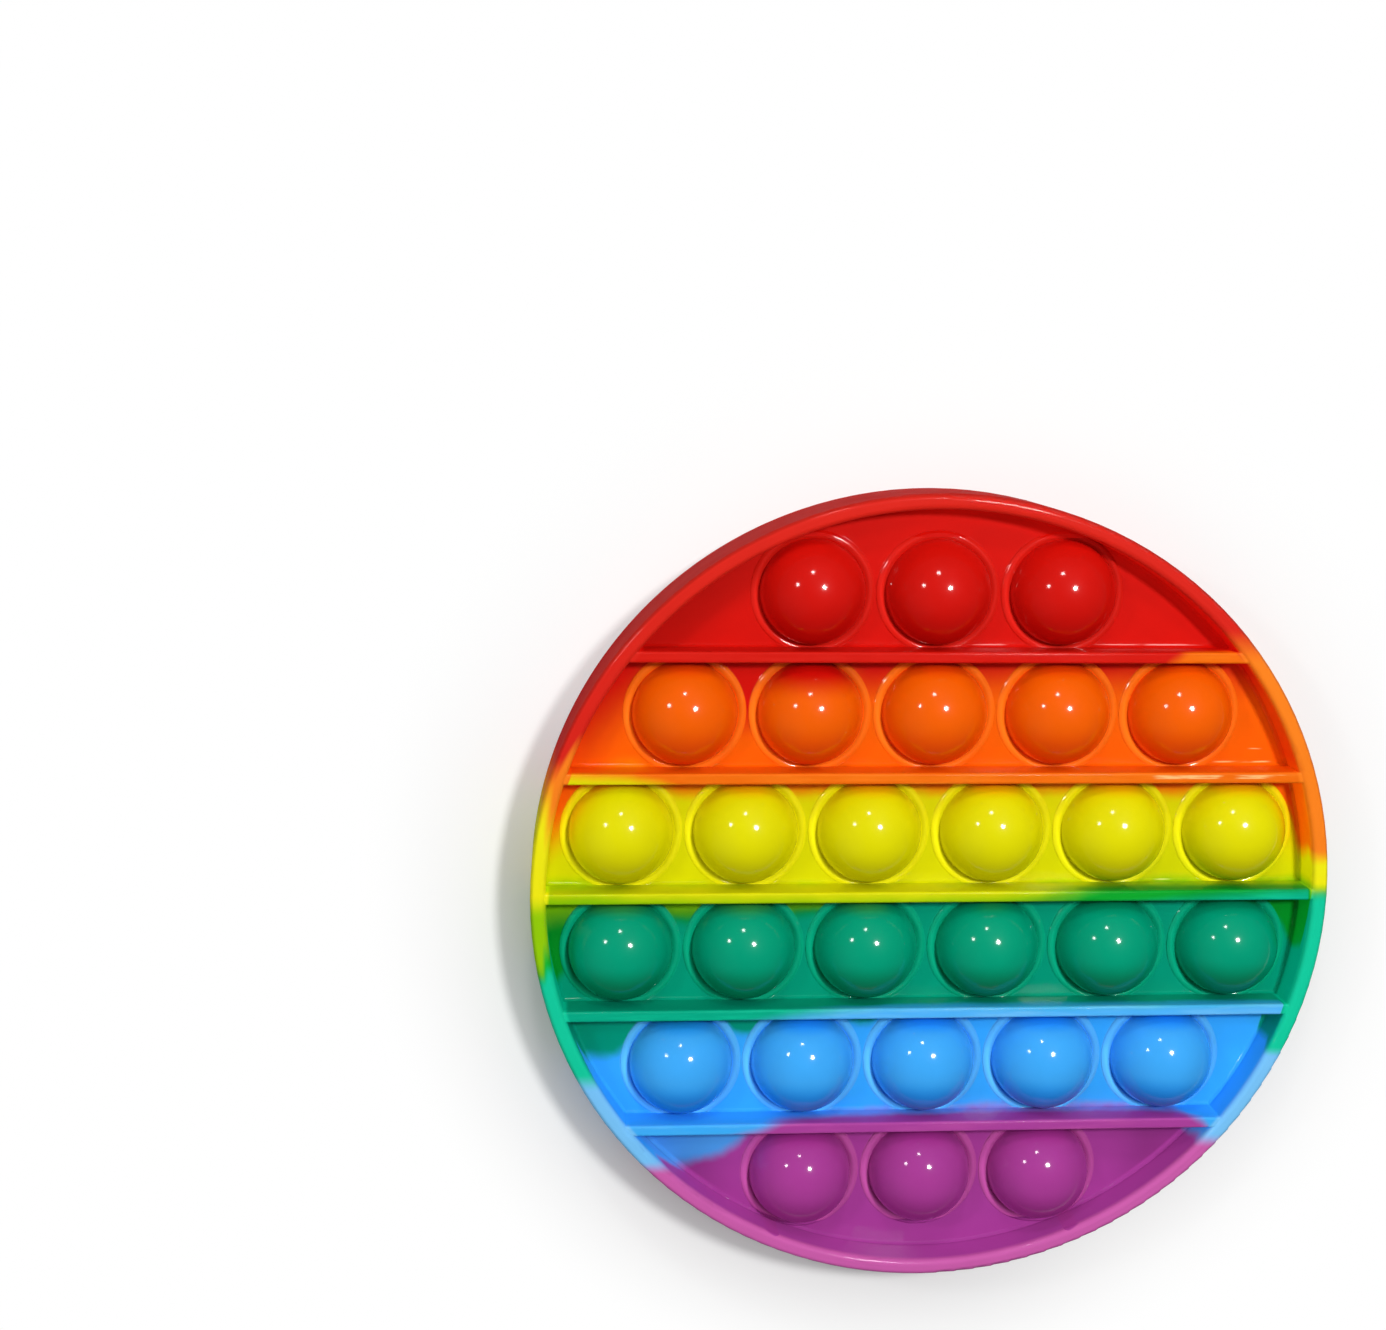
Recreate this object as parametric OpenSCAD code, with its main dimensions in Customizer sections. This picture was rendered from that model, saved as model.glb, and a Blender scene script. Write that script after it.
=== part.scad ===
// Round bubble popping toy, moulded in one piece from soft silicone.
// Hollow domes stand in straight rows on a thin web half way up a round rim.
// A straight rib runs between each two rows, on both faces, from rim to rim.
// The origin is at the middle of the underside, the rows run along X and the
// first row is the one furthest along +Y.

/* [Rim] */
// Outside diameter of the rim
toy_d = 125; // [90:0.5:200]
// Height of the rim, from the lower edge to the upper edge
rim_h = 13.5; // [12:0.1:24]
// Thickness of the rim's wall
rim_w = 2.4; // [1.8:0.1:5]
// Radius of the rim's four rounded edges
rim_round = 0.8; // [0.3:0.05:0.85]

/* [Web] */
// Thickness of the web that carries the domes
web_t = 1.6; // [0.8:0.1:3]
// Reach of the fillets where the rim and the ribs stand on the web
foot_fillet = 0.7; // [0.3:0.05:1.4]

/* [Ribs] */
// Thickness of the rib between two rows
rib_w = 1.7; // [1:0.1:4]
// Step from the rim's edge down to the rib's edge, on both faces
rib_step = 0.3; // [0.1:0.05:2]
// Radius of the rib's rounded edges
rib_round = 0.35; // [0.2:0.05:0.48]

/* [Domes] */
// Diameter of a dome where it leaves the ring round it
dome_d = 16.4; // [12:0.1:24]
// Height of a dome above that level
dome_rise = 7.9; // [5:0.1:10]
// Height of that level above the web
dome_lift = 0.3; // [0.2:0.05:1]
// Wall of a dome at its foot, where it folds when it is pressed
foot_wall = 0.9; // [0.6:0.05:1.6]
// Wall of a dome at its crown
crown_wall = 1.25; // [0.8:0.05:2.2]
// Bevel round the mouth of the cup under each dome
mouth_bevel = 0.5; // [0.2:0.05:0.75]

/* [Rings] */
// Width of the raised ring round each dome
ring_w = 1.3; // [0.9:0.05:2.5]
// Height of the ring above the web
ring_h = 0.55; // [0.4:0.05:1.2]
// Bevel along the ring's upper edges
ring_bevel = 0.35; // [0.1:0.05:0.35]
// Gap between the rings of two domes in one row
ring_gap = 0.4; // [0.2:0.05:4]

/* [Layout] */
// Gap between the foot of a dome and the rib beside it
rib_gap = 0.35; // [0.2:0.05:4]
// How far an outer ring may run into the rim's wall
rim_bite = 0.6; // [0:0.05:0.9]

/* [Hidden] */
row_colours = ["crimson", "darkorange", "gold", "mediumseagreen", "dodgerblue", "mediumorchid"];
$fn = 72;

rim_r = toy_d / 2;
wall_r = rim_r - rim_w;
web_z = rim_h / 2;
web_top = web_z + web_t / 2;
web_low = web_z - web_t / 2;
rib_h = rim_h - 2 * rib_step;
// The ribs, and the web, end inside the rim's wall
tuck_r = rim_r - rim_w / 2;

// One dome: the outer and the inner surface are spheres through their own foot circle and crown
dome_r = dome_d / 2;
cup_r = dome_r - foot_wall;
cup_rise = dome_rise - crown_wall;
foot_z = web_top + dome_lift;
outer_r = cap_radius(dome_r, dome_rise);
inner_r = cap_radius(cup_r, cup_rise);
ring_r = dome_r + ring_w;
// The ring's inner bevel runs a little way into the dome, which leaves a fine groove there
ring_lap = 0.1;
groove = 0.6 * ring_bevel;
ring_top = web_top + ring_h;

// Spacing of the domes along a row, and of the rows
pitch_x = 2 * ring_r + ring_gap;
pitch_y = dome_d + 2 * rib_gap + rib_w;
// The middle of a dome stays within this radius, so that its ring stays off the rim
reach = wall_r + rim_bite - ring_r;
rows = floor(2 * reach / pitch_y) + 1;
// Domes that fit in a row whose middle line is at y
function in_row(y) = floor(2 * sqrt(reach * reach - y * y) / pitch_x) + 1;
function row_y(i) = ((rows - 1) / 2 - i) * pitch_y;
function dome_x(i, k) = (k - (in_row(row_y(i)) - 1) / 2) * pitch_x;
// Radius of the sphere through a foot circle of radius a and a crown h above it
function cap_radius(a, h) = (a * a + h * h) / (2 * h);

// A bar's section with four rounded edges, w wide and h high, centred
module rounded_bar(w, h, r) {
    square([w - 2 * r, h], center = true);
    square([w, h - 2 * r], center = true);
    for (x = [-1, 1], y = [-1, 1]) translate([x * (w / 2 - r), y * (h / 2 - r)]) circle(r, $fn = 48);
}

// The hollow fillet in the corner between a wall on the left and a floor below
module hollow_corner(r) {
    difference() {
        translate([-r / 2, -web_t / 4]) square([r * 1.5, r + web_t / 4]);
        translate([r, r]) circle(r * 1.08, $fn = 48);
    }
}

// Section of the rim with its fillets on both faces of the web
module rim_section() {
    translate([rim_r - rim_w / 2, web_z]) rounded_bar(rim_w, rim_h, rim_round);
    for (side = [0, 1]) translate([wall_r, web_z]) mirror([0, side]) translate([0, web_t / 2])
        mirror([1, 0]) hollow_corner(foot_fillet);
}

module rim() {
    color("tomato") rotate_extrude($fn = 240) rim_section();
}

module web() {
    color("gainsboro") translate([0, 0, web_low]) cylinder(r = tuck_r, h = web_t, $fn = 240);
}

// Section across a rib with its fillets on both faces of the web
module rib_section() {
    translate([0, web_z]) rounded_bar(rib_w, rib_h, rib_round);
    for (side = [0, 1], face = [0, 1]) translate([0, web_z]) mirror([0, face])
        mirror([side, 0]) translate([rib_w / 2, web_t / 2]) hollow_corner(foot_fillet);
}

module ribs() {
    intersection() {
        for (i = [0 : rows - 2]) color(row_colours[i % len(row_colours)])
            translate([0, row_y(i) - pitch_y / 2, 0]) rotate([90, 0, 90])
                linear_extrude(height = toy_d, center = true) rib_section();
        cylinder(r = tuck_r, h = rim_h, $fn = 240);
    }
}

// Half section of a dome with its ring, before the cup is cut
module dome_section() {
    polygon([[0, web_z], [ring_r, web_z], [ring_r, ring_top - ring_bevel], [ring_r - ring_bevel, ring_top],
        [dome_r + groove, ring_top], [dome_r - ring_lap, ring_top - groove - ring_lap],
        [0, ring_top - groove - ring_lap]]);
    intersection() {
        translate([0, foot_z + dome_rise - outer_r]) circle(outer_r, $fn = 120);
        translate([0, web_z]) square([dome_d, rim_h + dome_rise]);
    }
}

// Half section of the cup under a dome, open downwards through the web
module cup_section() {
    translate([0, web_low - 1]) square([cup_r, foot_z - web_low + 1]);
    intersection() {
        translate([0, foot_z + cup_rise - inner_r]) circle(inner_r, $fn = 120);
        translate([0, foot_z - web_t / 2]) square([dome_d, rim_h + dome_rise]);
    }
    polygon([[0, web_low - 1], [cup_r + mouth_bevel + 1, web_low - 1], [cup_r - 0.1, web_low + mouth_bevel + 0.1],
        [0, web_low + mouth_bevel + 0.1]]);
}

module at_domes() {
    for (i = [0 : rows - 1], k = [0 : in_row(row_y(i)) - 1]) translate([dome_x(i, k), row_y(i), 0]) {
        $row = i;
        children();
    }
}

module domes() {
    at_domes() color(row_colours[$row % len(row_colours)]) rotate_extrude($fn = 96) dome_section();
}

module cups() {
    at_domes() color(row_colours[$row % len(row_colours)]) rotate_extrude($fn = 96) cup_section();
}

module silicone_body() {
    difference() {
        union() {
            rim();
            web();
            ribs();
            domes();
        }
        cups();
    }
}

silicone_body();
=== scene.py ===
import bpy, math
from mathutils import Euler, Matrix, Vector
from types import SimpleNamespace

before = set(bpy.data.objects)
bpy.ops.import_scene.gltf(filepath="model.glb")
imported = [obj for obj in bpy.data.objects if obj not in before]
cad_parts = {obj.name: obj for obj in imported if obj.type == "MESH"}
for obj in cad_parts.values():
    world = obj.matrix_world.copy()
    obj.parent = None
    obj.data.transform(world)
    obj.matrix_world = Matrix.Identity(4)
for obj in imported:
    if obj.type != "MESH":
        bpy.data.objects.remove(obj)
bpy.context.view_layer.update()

# ------------------------------------------------------------------ sizes, in mm, as in the CAD
PITCH_X, PITCH_Y = 19.4, 18.8      # spacing of the domes along a row, and of the rows
ROWS = 6
RIM_R, WALL_R = 62.5, 60.1         # outer and inner wall of the rim
MID_Z = 6.75                       # middle of the web; the heights below are measured from here
WEB_TOP, RING_TOP, RIB_TOP = 0.8, 1.35, 6.45
DOME_R, RING_R = 8.2, 9.5          # outer radius of a dome's foot, and of the ring round it
BALL_R, BALL_Z = 8.2055, 7.5445    # sphere of a dome's outside, and the height of its middle above the table
CELL = 9.0                         # reach of the square round one dome, from its middle


# ------------------------------------------------------------------ colours
def srgb(r, g, b):
    """An sRGB colour, 0 to 255, as the linear colour that a shader takes."""
    f = [c / 255 for c in (r, g, b)]
    return tuple(c / 12.92 if c <= 0.04045 else ((c + 0.055) / 1.055) ** 2.4 for c in f) + (1.0,)


RED, ORANGE, YELLOW = srgb(208, 18, 9), srgb(238, 99, 2), srgb(217, 215, 2)
LIME, GREEN, TEAL = srgb(130, 188, 4), srgb(2, 143, 38), srgb(0, 157, 124)
BLUE, PURPLE = srgb(56, 176, 255), srgb(172, 64, 157)
# Painted light: the same pigments paler, for the thin upper edges of the rim and the ribs, which are painted lighter
# than the rest
LIT_PALE = {RED: srgb(218, 38, 27), ORANGE: srgb(252, 132, 32), YELLOW: srgb(246, 238, 22), LIME: srgb(150, 206, 10),
        GREEN: srgb(20, 182, 50), TEAL: srgb(20, 208, 162), BLUE: srgb(126, 202, 255), PURPLE: srgb(212, 98, 177)}

# For each row, from +Y to -Y: the domes, which were cast a little darker, and the crests of their rings, painted paler
# as a painted highlight
DOMES = [srgb(208, 19, 11), srgb(244, 96, 2), srgb(228, 222, 2), srgb(0, 158, 120), srgb(64, 174, 255),
         srgb(174, 62, 153)]
LIT_CRESTS = [LIT_PALE[RED], LIT_PALE[ORANGE], LIT_PALE[YELLOW], srgb(8, 182, 138), srgb(108, 204, 255), LIT_PALE[PURPLE]]
# For each row: painted shade on the low side and at the upper foot of a dome, as gamma added to the pigment
SHADE_LOW = (0.12, 0.2, 0.36, 0.42, 0.42, 0.15)
SHADE_TOP = (0.0, 0.1, 0.1, 0.3, 0.45, 0.2)
# For each row: painted light, a glow of own colour, for light through the rim's wall and through the domes to the low
# side of their rings
WALL_GLOW = (0.36, 0.2, 0.4, 0.45, 0.06, 0.18)
RING_GLOW = (0.2, 0.22, 0.2, 0.08, 0.28, 0.2)

# Borders between neighbouring colours, from +Y to -Y. Each has the colour below it, then a line at the level of the web
# and one at the level of the rib tops, as (x, y) points in mm. Next come its places on the rim, at the left (outer and
# inner edge) and at the right (with the inner wall), and how soft it is, in mm: on the web at the left end, on the rest
# of the web, above, and on the rim at the left.
BORDERS = [
    (ORANGE,
     [(-63, 21), (-57, 22), (-52, 25), (-47, 29.5), (-42, 33.4), (-36, 32.5), (-29, 26), (-23, 32), (-19, 32),
      (-14, 33.6), (-10, 31.8), (-4, 33.4), (2, 33.8), (10, 32.8), (19, 33.6), (29, 32.8), (45, 33.6), (50, 32.5),
      (63, 31)],
     [(-63, 34), (30, 34), (36, 37.2), (42, 40.5), (63, 41)],
     (20, 24), 39.5, (14.0, 7.0, 2.6, 5.0)),
    (YELLOW,
     [(-63, 5), (-58, 9), (-54, 13.5), (-50, 16.6), (-46, 17.3), (-38, 15.3), (-28, 17), (-19.5, 15.3), (-10, 16.5),
      (0, 15.6), (10, 16), (19, 15.6), (29, 15.6), (40, 15.2), (50, 15.2), (54, 14), (57.5, 12.5), (59, 8), (60, 5.5),
      (63, 5)],
     [(-63, 20), (-54, 19.2), (-47, 18.8), (-41, 17.6), (-34, 15.6), (63, 15)],
     (15, 11), 6, (10.0, 3.4, 2.4, 9.0)),
    (LIME,
     [(-63, 1.2), (-50, 0.9), (-45, 0.6), (0, 0.3), (20, 0.6), (30, 0.9), (63, 1.4)],
     [(-63, 0.8), (-50, 0.5), (-44, 0.1), (-30, -0.1), (5, 0), (14, 0.4), (24, 1.6), (63, 3)],
     -1, 1, (3.0, 2.4, 2.6, 4.0)),
    (GREEN,
     [(-63, -6), (-58, -4.2), (-52, -3), (-47, -1.5), (-38, -3.6), (-30, -1.5), (-19, -3), (-10, -1), (20, -0.3),
      (63, 0)],
     [(-63, -3), (8, -2.4), (20, 0), (30, 2.4), (63, 3)],
     (-11.6, -8), 0.3, (5.0, 3.0, 4.0, 4.0)),
    (TEAL,
     [(-63, -18), (-58, -14), (-55, -9), (-52, -4.6), (-46, -2.5), (-38, -5.2), (-30, -2), (-19, -4.4), (-10, -1.5),
      (20, -1.2), (46, -1.5), (50, -3), (54, -4.5), (57, -6), (59, -9), (60, -11), (63, -12)],
     [(-63, -3), (14, -2.6), (28, -1.6), (42, -0.5), (63, 1)],
     (-12.8, -11), 0, (3.0, 2.6, 2.6)),
    (BLUE,
     [(-63, -28), (-56, -27), (-50, -27), (-47, -24.5), (-45, -22.5), (-40, -20.5), (-34, -20), (-30, -23.4),
      (-27, -23.8), (-22, -20.5), (-14, -20.5), (-10, -22.4), (-6, -20.5), (10, -19.8), (40, -19.8), (52, -19.9),
      (56, -20.8), (63, -22)],
     [(-63, -22), (-32, -20.8), (-24, -19.6), (-16, -18.4), (-6, -17.4), (20, -17.6), (63, -17.4)],
     -29.5, (-25.7, -24), (2.4, 1.8, 3.0)),
    (PURPLE,
     [(-63, -43), (-46, -43), (-44, -44.6), (-40, -45.6), (-37, -45.3), (-34, -44.5), (-31, -43.2), (-29, -41.8),
      (-27, -40), (-25, -38.7), (-22, -38.1), (-18, -37.8), (-10, -37.3), (0, -37), (40, -37), (42.5, -38.3),
      (44, -40.5), (63, -41)],
     [(-63, -43.6), (-46, -43), (-40, -41), (-33, -39.6), (-27, -37.9), (-18, -35.6), (38, -35), (44, -37), (49, -40),
      (63, -41)],
     -43.5, -40.5, (3.8, 2.7, 2.4)),
]

# Shares of the colours that are laid over these bands
RED_IN_WALL, PURPLE_IN_SPILL = 0.5, 0.12
DOME_FOOT_SHARE = 0.45             # of a dome's own colour at its upper foot
# painted highlight on the ring crests, painted lighter colour on the rim top, and the pale streaks and painted glints
LIT_CREST_SHARE, RIM_SHARE, STREAK_AND_GLINT_SHARE = 0.55, 0.95, 0.65
RIB_SHARES, LAST_RIB_SHARES = (0.25, 0.75), (0.05, 0.35)      # of the pale colour, between and on the streaks
# Painted shade: how much darker than the pigment some places are made; and how much the pigment's tone varies at random
DARK_ENDS, DARK_OUTSIDE, DARK_BLUE_TOP, DARK_BLUE_LOW, CLOUDS = 0.24, 0.25, 0.16, 0.12, 0.10

# The skin: roughness inside, on the outer wall and how much it varies, then the weight of the clear gloss
ROUGH, ROUGH_OUTSIDE, ROUGH_RANGE = 0.45, 0.75, 0.16
GLOSS, GLOSS_WET, GLOSS_RIBS, GLOSS_DOMES, GLOSS_OUTSIDE = 0.35, 1.0, 0.15, 0.95, 0.02
SILICONE_IOR = 1.41
SOFT_EDGE, GRAIN = 0.0003, 0.0002  # radius of a soft edge and depth of the grain, in metres
BEAD_SLOPE = 0.75                  # steepest slope of the bead that a ring is
LOW_SIDE = (-0.62, -0.78)          # the way from the lamps, along X and Y

# Pale streaks on the top of the second rib, and painted glints along the foot of the upper ribs: x from, x to, y, half
# the width, and the tint
ON_RED, ON_ORANGE, ON_LIME = srgb(255, 190, 185), srgb(255, 222, 150), srgb(255, 255, 150)
PALE_STREAKS_AND_GLINTS = [(33, 45, 19.0, 0.36, ON_ORANGE), (46, 56, 19.0, 0.36, ON_ORANGE), (44.5, 54.5, 20.2, 0.15, ON_ORANGE),
          (50, 53, 22.3, 0.12, ON_ORANGE), (24.5, 33, 38.85, 0.08, ON_RED), (32, 42.5, 38.85, 0.12, ON_RED),
          (4, 11.5, 38.8, 0.08, ON_RED), (27, 33, 1.15, 0.13, ON_LIME), (36, 40, 1.1, 0.12, ON_LIME)]


# ------------------------------------------------------------------ a small builder for shader nodes
class Graph:
    def __init__(self, name):
        self.mat = bpy.data.materials.new(name)
        self.mat.use_nodes = True
        self.tree = self.mat.node_tree
        self.tree.nodes.clear()

    def put(self, socket, value):
        if isinstance(value, bpy.types.NodeSocket):
            self.tree.links.new(value, socket)
        elif value is not None:
            socket.default_value = value

    def node(self, kind, ins=None, **props):
        n = self.tree.nodes.new("ShaderNode" + kind)
        for k, v in props.items():
            setattr(n, k, v)
        for k, v in (ins or {}).items():
            self.put(n.inputs[k], v)
        return n

    def math(self, op, *values, clamp=False):
        n = self.node("Math", operation=op, use_clamp=clamp)
        for s, v in zip(n.inputs, values):
            self.put(s, v)
        return n.outputs[0]

    def mul(self, first, *others):
        for v in others:
            first = self.math("MULTIPLY", first, v)
        return first

    def add(self, first, *others):
        for v in others:
            first = self.math("ADD", first, v)
        return first

    def sub(self, a, b):
        return self.math("SUBTRACT", a, b)

    def larger(self, a, b):
        return self.math("MAXIMUM", a, b)

    def invert(self, value):
        """1 where value is 0, and 0 where it is 1."""
        return self.sub(1.0, value)

    def absolute(self, value):
        return self.math("ABSOLUTE", value)

    def length(self, a, b):
        return self.math("SQRT", self.add(self.mul(a, a), self.mul(b, b)))

    def step(self, value, lo, hi):
        """Smooth step: 0 where value is at lo or past it, 1 where it is at hi or past it. lo may be the larger."""
        n = self.node("MapRange", {"Value": value, "From Min": lo, "From Max": hi}, interpolation_type="SMOOTHSTEP")
        return n.outputs[0]

    def mix(self, f, a, b):
        """Numbers a to b as f goes from 0 to 1."""
        n = self.node("Mix", data_type="FLOAT")
        for s, v in zip([n.inputs[0], n.inputs[2], n.inputs[3]], [f, a, b]):
            self.put(s, v)
        return n.outputs[0]

    def mix_colour(self, f, a, b):
        n = self.node("Mix", data_type="RGBA")
        for s, v in zip([n.inputs[0], n.inputs[6], n.inputs[7]], [f, a, b]):
            self.put(s, v)
        return n.outputs[2]

    def mix_normal(self, f, a, b):
        n = self.node("Mix", data_type="VECTOR")
        for s, v in zip([n.inputs[0], n.inputs[4], n.inputs[5]], [f, a, b]):
            self.put(s, v)
        return self.node("VectorMath", {0: n.outputs[1]}, operation="NORMALIZE").outputs[0]

    def curve(self, value, points, lo, hi):
        """A line through (x, y) points in mm: x from -63 to 63, y from lo to hi."""
        half = 63
        n = self.node("FloatCurve", {"Value": self.math("MULTIPLY_ADD", value, 1 / (2 * half), 0.5)})
        c = n.mapping.curves[0]
        pts = [((x + half) / (2 * half), (y - lo) / (hi - lo)) for x, y in points]
        c.points[0].location, c.points[1].location = pts[0], pts[-1]
        for p in pts[1:-1]:
            c.points.new(*p)
        n.mapping.update()
        return self.math("MULTIPLY_ADD", n.outputs[0], hi - lo, lo)

    def by_row(self, y, values):
        """One colour, or one number, for each row from +Y to -Y."""
        ramp = self.node("ValToRGB", {0: self.math("MULTIPLY_ADD", y, -1 / (ROWS * PITCH_Y), 0.5)})
        ramp.color_ramp.interpolation = "CONSTANT"
        e = ramp.color_ramp.elements
        for i, v in enumerate(values):
            colour = v if isinstance(v, tuple) else (v, v, v, 1.0)
            if i < 2:
                e[i].position, e[i].color = i / ROWS, colour
            else:
                e.new(i / ROWS).color = colour
        return ramp.outputs[0]

    def noise(self, vector, scale, detail=2.0, rough=0.5, seed=0.0):
        """Noise about 0, from -0.5 to 0.5."""
        n = self.node("TexNoise", {"Vector": vector, "Scale": scale, "Detail": detail, "Roughness": rough, "W": seed},
                      noise_dimensions="4D")
        return self.sub(n.outputs[0], 0.5)


# ------------------------------------------------------------------ the silicone
def places(g):
    """Where a point of the surface lies: its coordinates in mm, and masks that are 1 on a feature and 0 off it."""
    at = g.node("TexCoord").outputs["Object"]
    mm = g.node("VectorMath", {0: at, 3: 1000.0}, operation="SCALE").outputs[0]
    x, y, z = g.node("SeparateXYZ", {0: mm}).outputs
    r = g.length(x, y)
    h = g.absolute(g.sub(z, MID_Z))
    upper_face = g.math("GREATER_THAN", z, MID_Z)

    # the rim and the ribs; the borders on the right part of the inner wall keep to their line on the web
    wall = g.mul(g.step(r, WALL_R - 0.8, WALL_R - 0.1), g.step(x, 10.0, 30.0))
    up = g.mul(g.step(h, 1.7, 6.0), g.math("MULTIPLY_ADD", wall, -0.85, 1.0))
    rim_edge = g.step(r, WALL_R + 0.6, RIM_R - 0.8)
    rim_top = g.mul(g.step(h, 4.4, 6.0), g.step(r, WALL_R - 0.7, WALL_R - 0.1))
    on_rim = g.larger(g.step(r, WALL_R + 0.05, WALL_R + 0.8), rim_top)

    # the nearest dome of the row, and the way from its middle
    row_y = g.mul(g.add(g.math("FLOOR", g.math("DIVIDE", y, PITCH_Y)), 0.5), PITCH_Y)
    inner_rows = g.math("LESS_THAN", g.absolute(y), PITCH_Y)
    outer_rows = g.math("GREATER_THAN", g.absolute(y), 2 * PITCH_Y)
    near = g.sub(x, g.mul(inner_rows, PITCH_X / 2))
    dx = g.sub(near, g.mul(g.math("ROUND", g.math("DIVIDE", near, PITCH_X)), PITCH_X))
    dy = g.sub(y, row_y)
    away = g.length(dx, dy)

    # half the length of the row: 5 domes, plus half a dome for 6 and less one for 3
    reach = g.math("MULTIPLY_ADD", inner_rows, PITCH_X / 2, 2.5 * PITCH_X)
    reach = g.math("MULTIPLY_ADD", outer_rows, -PITCH_X, reach)
    between_ribs = g.math("LESS_THAN", g.absolute(dy), DOME_R + 0.3)
    in_row = g.mul(g.math("LESS_THAN", g.absolute(x), reach), between_ribs)
    in_row = g.mul(in_row, g.math("LESS_THAN", g.absolute(y), ROWS / 2 * PITCH_Y))
    on_dome = g.mul(in_row, g.invert(g.step(away, RING_R - 0.1, RING_R + 0.15)))
    low = g.mul(g.math("LESS_THAN", h, RING_TOP + 0.07), in_row)
    on_ring = g.mul(low, g.step(away, DOME_R - 0.1, DOME_R + 0.2), g.step(away, RING_R + 0.25, RING_R - 0.1))
    on_ring = g.mul(on_ring, g.step(r, WALL_R - 0.4, WALL_R - 0.8))

    # the coordinates stretched along the ribs, for streaks
    streak = g.node("VectorMath", {0: mm, 1: (0.10, 1.0, 0.6)}, operation="MULTIPLY").outputs[0]
    return SimpleNamespace(
        mm=mm, x=x, y=y, z=z, r=r, h=h, upper_face=upper_face, wall=wall, up=up, rim_edge=rim_edge, on_rim=on_rim,
        outer_rows=outer_rows, dx=dx, dy=dy, away=away, in_row=in_row, on_dome=on_dome, on_ring=on_ring,
        ring_crest=g.mul(on_ring, upper_face), streak=streak, outside=g.step(r, RIM_R - 0.6, RIM_R - 0.1))


def poured_colours(g, at):
    """The bands of colour with their spills, as two colours: in the thick of the silicone, and a paler one for the
    edges that are painted lighter.
    """
    right, left_end = g.step(at.x, -20.0, 20.0), g.step(at.x, -38.0, -48.0)
    # each border wanders a little, as the colours flowed in the mould
    wander = g.add(g.mul(g.noise(at.mm, 0.16), 2.2), g.mul(g.noise(at.mm, 0.9, seed=3.0), 0.45))
    wander = g.mul(wander, g.mix(at.up, 1.0, 0.35))
    colour, pale = RED, LIT_PALE[RED]
    for below, web_line, top_line, left_y, right_y, soft in BORDERS:
        ys = [p[1] for p in web_line + top_line]
        lo, hi = min(ys) - 2, max(ys) + 2
        line = g.mix(at.up, g.curve(at.x, web_line, lo, hi), g.curve(at.x, top_line, lo, hi))
        if isinstance(left_y, tuple):
            left_y = g.mix(at.rim_edge, left_y[1], left_y[0])
        if isinstance(right_y, tuple):
            right_y, wall_y = right_y
            line = g.mix(at.wall, line, wall_y)
        line = g.mix(at.on_rim, line, g.mix(right, left_y, right_y))
        depth = g.sub(g.add(line, wander), at.y)
        width = g.mix(at.up, g.mix(left_end, soft[1], soft[0]), soft[2])
        if len(soft) > 3:
            width = g.mix(g.mul(at.on_rim, g.invert(right)), width, soft[3])
        share = g.step(g.math("DIVIDE", depth, width), -0.5, 0.5)
        colour, pale = g.mix_colour(share, colour, below), g.mix_colour(share, pale, LIT_PALE[below])

    # the inner wall beside the second row mixed halfway to red, and some purple in the blue that spilled into the last
    # row
    reddish = g.mul(at.wall, g.step(at.r, WALL_R + 0.5, WALL_R + 0.1), g.step(at.y, 19.6, 22.0))
    colour = g.mix_colour(g.mul(reddish, RED_IN_WALL), colour, RED)
    spilled = g.mul(g.step(at.y, -38.0, -39.5), g.invert(at.up))
    colour = g.mix_colour(g.mul(spilled, PURPLE_IN_SPILL), colour, PURPLE)
    return colour, pale


def shade(g, at):
    """Painted shade: how much darker than its pigment the surface is made, from 0 to 1."""
    # painted shade at the ends of the first and the last row, beside the rim's wall
    first = g.mul(at.outer_rows, g.invert(at.up), g.step(g.sub(at.x, at.y), -70.0, -85.0))
    last = g.mul(g.step(at.y, -37.8, -39.0), g.step(g.absolute(at.x), 29.0, 38.0))
    share = g.mix(g.larger(g.step(at.x, 29.0, 38.0), g.step(at.y, -43.5, -45.5)), 0.55, 1.2)
    ends = g.larger(first, g.mul(last, share, g.invert(at.up)))
    dark = g.mul(ends, g.step(at.r, WALL_R - 0.5, WALL_R - 0.9), DARK_ENDS)
    # painted shade on the outer wall
    dark = g.add(dark, g.mul(g.step(at.r, RIM_R - 0.6, RIM_R - 0.2), DARK_OUTSIDE))
    # painted shade on the blue domes near their upper and their lower foot
    blue_dome = g.mul(g.math("COMPARE", at.y, -1.5 * PITCH_Y, CELL), at.on_dome)
    foot = g.larger(g.mul(g.step(at.dy, 4.5, 8.0), DARK_BLUE_TOP), g.mul(g.step(at.dy, -1.0, -6.5), DARK_BLUE_LOW))
    return g.add(dark, g.mul(blue_dome, foot, g.step(at.away, DOME_R + 0.5, DOME_R)))


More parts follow.
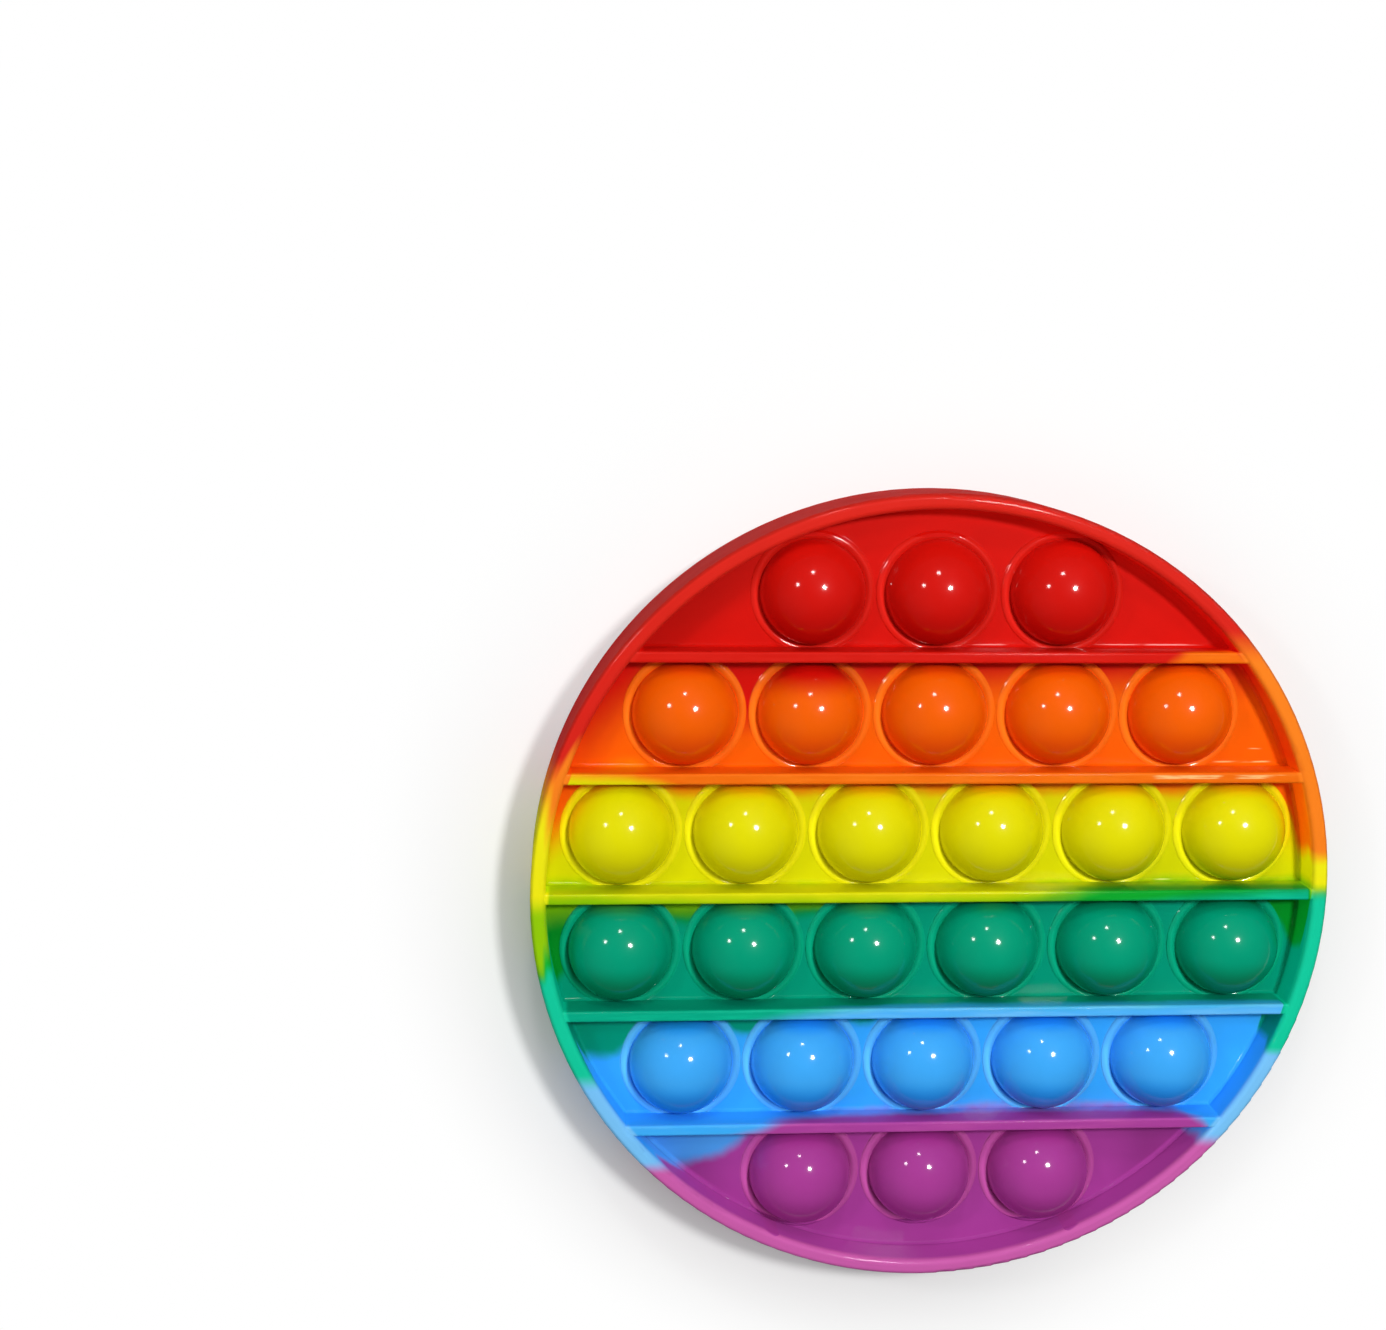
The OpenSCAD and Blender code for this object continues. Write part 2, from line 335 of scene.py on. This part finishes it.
def dome_colours(g, at, colour, pale):
    """Adds the domes and their rings, which keep the one colour of their row, with painted shade at the foot of the
    domes and a painted highlight on the crests of the rings.
    """
    own = g.by_row(at.y, DOMES)
    # the second dome of the second row is red at its top, and each dome's upper foot takes some of the web's colour
    second = g.mul(g.math("COMPARE", at.x, -PITCH_X, CELL), g.math("COMPARE", at.y, 1.5 * PITCH_Y, CELL))
    own = g.mix_colour(g.mul(second, g.step(at.y, 31.0, 35.0)), own, RED)
    share = g.mul(at.on_dome, g.mix(g.step(at.dy, 5.8, 8.2), 1.0, DOME_FOOT_SHARE))
    colour = g.mix_colour(share, colour, own)
    # painted shade, as deeper pigment, at the foot of a dome, and a painted highlight, as paler colour, on the crest of
    # its ring
    low_side = g.mul(at.on_dome, g.step(at.dy, -0.5, -5.5), g.step(at.away, DOME_R + 0.4, DOME_R))
    upper_foot = g.mul(at.on_dome, g.step(at.dy, 5.6, 7.8))
    painted_shade = g.add(g.mul(low_side, g.by_row(at.y, SHADE_LOW)), g.mul(upper_foot, g.by_row(at.y, SHADE_TOP)))
    colour = g.node("Gamma", {"Color": colour, "Gamma": g.add(painted_shade, 1.0)}).outputs[0]
    crest = g.mix_colour(at.on_dome, pale, g.by_row(at.y, LIT_CRESTS))
    return g.mix_colour(g.mul(at.on_ring, LIT_CREST_SHARE), colour, crest)


def painted_light_edges(g, at, colour, pale):
    """Adds painted light: the upper edges of the rim and the ribs painted paler, and the pale streaks and painted
    glints.
    """
    # the paler paint on the rib tops comes in streaks
    streaks = g.step(g.noise(at.streak, 0.9, 3.0, 0.6, seed=5.0), -0.12, 0.28)
    last_rib = g.step(at.y, -36.0, -37.5)
    streaks = g.mix(last_rib, g.mix(streaks, *RIB_SHARES), g.mix(streaks, *LAST_RIB_SHARES))
    share = g.mul(g.mix(at.on_rim, streaks, RIM_SHARE), g.invert(at.on_dome))
    colour = g.mix_colour(g.mul(g.step(at.h, 5.2, 6.5), share), colour, pale)
    # pale streaks on the second rib, and painted glints at the foot of the upper ribs
    for x0, x1, y0, half, tint in PALE_STREAKS_AND_GLINTS:
        middle, reach = (x0 + x1) / 2, (x1 - x0) / 2
        patch = g.mul(g.step(g.absolute(g.sub(at.x, middle)), reach, reach - 1.5),
                      g.step(g.absolute(g.sub(at.y, y0)), half, half * 0.6))
        patch = g.mul(patch, g.step(g.noise(at.streak, 2.2, seed=float(x0)), -0.1, 0.1), at.upper_face)
        colour = g.mix_colour(g.mul(patch, STREAK_AND_GLINT_SHARE), colour, tint)
    return colour


def smooth_normal(g, at):
    """The surface's direction, with true spheres on the domes, beads on the rings and soft edges on the ribs and rim,
    and where the spheres are."""
    plain = g.node("NewGeometry").outputs["Normal"]
    soft_edge = g.node("Bevel", {"Radius": SOFT_EDGE}, samples=8).outputs[0]
    normal = g.mix_normal(g.step(at.h, 2.5, 3.5), plain, soft_edge)

    ball = g.node("CombineXYZ", {0: at.dx, 1: at.dy, 2: g.sub(at.z, BALL_Z)}).outputs[0]
    from_middle = g.node("VectorMath", {0: ball}, operation="LENGTH").outputs["Value"]
    is_ball = g.math("LESS_THAN", g.absolute(g.sub(from_middle, BALL_R)), 0.06)
    is_ball = g.mul(is_ball, g.step(at.z, 8.3, 8.6), at.in_row)
    normal = g.mix_normal(is_ball, normal, g.node("VectorMath", {0: ball}, operation="NORMALIZE").outputs[0])

    # the slope of a bead goes from inwards at the dome's foot to outwards at the ring's outer edge
    turn = g.mul(g.sub(at.away, DOME_R + 0.05), math.pi / (RING_R - DOME_R + 0.05))
    slope = g.math("DIVIDE", g.mul(g.math("COSINE", turn), -BEAD_SLOPE), at.away)
    bead = g.node("CombineXYZ", {0: g.mul(at.dx, slope), 1: g.mul(at.dy, slope), 2: 1.0}).outputs[0]
    return g.mix_normal(at.ring_crest, normal, bead), is_ball


def coat(g, at, is_ball):
    """The weight of the clear gloss."""
    # the hollow fillets at the foot of the ribs are wetter in places
    hollow = g.mul(g.step(at.h, WEB_TOP + 0.01, WEB_TOP + 0.06), g.step(at.h, 1.5, 1.3))
    wet = g.mul(hollow, g.step(g.noise(at.streak, 0.8, 1.0, seed=13.0), -0.1, 0.1))
    # the sides and the tops of the ribs are dull
    dull = g.mul(at.up, g.invert(at.on_rim))
    gloss = g.mix(dull, g.mix(g.larger(wet, at.on_ring), GLOSS, GLOSS_WET), GLOSS_RIBS)
    return g.mix(at.outside, g.mix(is_ball, gloss, GLOSS_DOMES), GLOSS_OUTSIDE)


def glow(g, at):
    """Painted light: a faint glow of the silicone's own colour, standing in for the light that comes through the thin
    silicone.
    """
    # painted light through the rim, onto its inner wall and, at the upper right, onto the web beside it, lifting the
    # rim's shadow
    inside = g.step(at.r, WALL_R + 0.6, WALL_R + 0.1)
    wall = g.mul(g.step(at.r, WALL_R - 0.8, WALL_R - 0.2), inside, g.step(at.h, 1.0, 2.0))
    beside = g.mul(g.step(at.r, WALL_R - 3.1, WALL_R - 0.6), inside, g.step(g.add(at.x, at.y), 45.0, 65.0),
                   g.step(at.y, 19.0, 21.0), g.invert(at.on_dome))
    wall = g.mul(g.larger(wall, g.mul(beside, 0.55)), at.upper_face, g.step(at.h, RIB_TOP + 0.05, RIB_TOP - 0.95))
    wall = g.mul(wall, g.by_row(at.y, WALL_GLOW))
    # painted light through the hollow domes, onto the low side of their rings, lifting the domes' shadow
    lee = g.math("DIVIDE", g.add(g.mul(at.dx, LOW_SIDE[0]), g.mul(at.dy, LOW_SIDE[1])), at.away)
    lee = g.mul(g.step(lee, 0.1, 0.75), at.ring_crest, g.step(at.away, DOME_R + 0.15, DOME_R + 0.6))
    return g.larger(wall, g.mul(lee, g.by_row(at.y, RING_GLOW)))


def silicone():
    g = Graph("rainbow_silicone")
    at = places(g)
    colour, pale = poured_colours(g, at)
    colour = dome_colours(g, at, colour, pale)
    colour = painted_light_edges(g, at, colour, pale)
    # slight cloudiness of the pigment, and the painted shade
    value = g.math("MULTIPLY_ADD", g.noise(at.mm, 0.25, 3.0, seed=7.0), CLOUDS, g.invert(shade(g, at)))
    colour = g.node("HueSaturation", {"Value": value, "Color": colour}).outputs[0]

    # a fine satin skin; the outer wall, which the fingers hold, is duller than the rest
    normal, is_ball = smooth_normal(g, at)
    fine = g.node("TexNoise", {"Vector": at.mm, "Scale": 2.2, "Detail": 4.0, "Roughness": 0.55}).outputs[0]
    satin = g.node("Bump", {"Strength": 0.06, "Distance": GRAIN, "Height": fine, "Normal": normal}).outputs[0]
    smear = g.noise(at.mm, 0.35, 4.0, seed=11.0)
    rough = g.math("MULTIPLY_ADD", smear, ROUGH_RANGE, g.mix(at.outside, ROUGH, ROUGH_OUTSIDE), clamp=True)
    p = g.node("BsdfPrincipled", {
        "Base Color": colour, "Emission Color": colour, "Emission Strength": glow(g, at), "Roughness": rough,
        "IOR": SILICONE_IOR, "Specular IOR Level": 0.05, "Coat Weight": coat(g, at, is_ball), "Coat Roughness": 0.1,
        "Coat IOR": SILICONE_IOR, "Normal": satin, "Coat Normal": normal})
    g.node("OutputMaterial", {"Surface": p.outputs[0]})
    # so faint a glow isn't sampled as a lamp, which would add half as much again to the render's time
    g.mat.cycles.emission_sampling = "NONE"
    return g.mat


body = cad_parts["silicone_body"]
body.data.materials.clear()
body.data.materials.append(silicone())


# ------------------------------------------------------------------ floor, in metres
PAPER = (0.93, 0.93, 0.92, 1)
WHITE_FROM, WHITE_TO = 0.060, 0.090     # distances from the middle at which plain white starts and is full
WHITE_NEAR = 0.4                        # share of white near the toy, off the side where its shadow falls


def floor():
    """A pale floor that takes the shadow, and that the camera sees as plain white further out, and partly white near
    the toy as painted light.
    """
    bpy.ops.mesh.primitive_plane_add(size=6, location=(0, 0, 0))
    o = bpy.context.object
    o.name = "floor"
    g = Graph("floor_paint")
    at = g.node("TexCoord").outputs["Object"]
    far = g.step(g.node("VectorMath", {0: at}, operation="LENGTH").outputs["Value"], WHITE_FROM, WHITE_TO)
    x, y, _ = g.node("SeparateXYZ", {0: at}).outputs
    shadow_side = g.step(g.add(x, y), -0.02, -0.07)
    # painted light: near the toy, off the side where its shadow falls, the camera sees the floor partly white, which
    # lifts its shadow there
    whiter = g.mix(far, g.mix(shadow_side, WHITE_NEAR, 0.0), 1.0)
    seen = g.mul(g.node("LightPath").outputs["Is Camera Ray"], whiter)
    paint = g.node("BsdfDiffuse", {"Color": PAPER})
    white = g.node("Emission", {"Color": (1, 1, 1, 1), "Strength": 1.0})
    m = g.node("MixShader", {0: seen, 1: paint.outputs[0], 2: white.outputs[0]})
    g.node("OutputMaterial", {"Surface": m.outputs[0]})
    o.data.materials.append(g.mat)


floor()


# ------------------------------------------------------------------ light
def add_lamp(name, shape, place, size, power):
    """An area light that faces the middle of the toy."""
    lamp = bpy.data.lights.new(name, "AREA")
    lamp.shape, lamp.size, lamp.energy = shape, size, power
    o = bpy.data.objects.new(name, lamp)
    o.location = place
    o.rotation_euler = (-Vector(place)).to_track_quat("-Z", "Y").to_euler()
    bpy.context.scene.collection.objects.link(o)
    return o


# three small lamps, which each dome mirrors: name, place in metres, size in metres and power in watts
LAMPS = [("lamp_1", (-0.302, 0.194, 0.336), 0.050, 0.26), ("lamp_2", (-0.056, 0.379, 0.308), 0.052, 0.25),
         ("lamp_3", (0.129, 0.168, 0.444), 0.062, 1.5)]
for name, place, size, power in LAMPS:
    add_lamp(name, "DISK", place, size, power)
# broad soft lights, which don't mirror in the skin
SOFT_LAMPS = [("soft_key", (0.10, 0.40, 0.40), 0.42, 0.42), ("soft_fill", (-0.34, -0.14, 0.32), 0.5, 0.6)]
for name, place, size, power in SOFT_LAMPS:
    add_lamp(name, "SQUARE", place, size, power).visible_glossy = False

# the world is white to the camera, and gives a little light from all sides
WORLD_LIGHT = 0.05
world = bpy.data.worlds.new("studio")
bpy.context.scene.world = world
world.use_nodes = True
tree = world.node_tree
background = tree.nodes["Background"]
background.inputs[0].default_value = (1.0, 1.0, 1.0, 1.0)
strength = tree.nodes.new("ShaderNodeMapRange")
strength.inputs["To Min"].default_value = WORLD_LIGHT
tree.links.new(tree.nodes.new("ShaderNodeLightPath").outputs["Is Camera Ray"], strength.inputs["Value"])
tree.links.new(strength.outputs[0], background.inputs[1])

# ------------------------------------------------------------------ camera, fitted to the photograph
PHOTO_W, PHOTO_FOCUS = 1386, 1840.1      # width and focal length of the photograph, in its pixels
cam = bpy.data.cameras.new("camera")
cam.sensor_fit, cam.sensor_width = "HORIZONTAL", 36
cam.lens = cam.sensor_width * PHOTO_FOCUS / PHOTO_W
cam.clip_start, cam.clip_end = 0.01, 20
o = bpy.data.objects.new("camera", cam)
o.location = (-0.05691, 0.08102, 0.28558)
o.rotation_euler = Euler((-0.16266, -0.06731, 0.01264), "XYZ")
bpy.context.scene.collection.objects.link(o)
bpy.context.scene.camera = o

bpy.context.scene.view_settings.view_transform = "Standard"
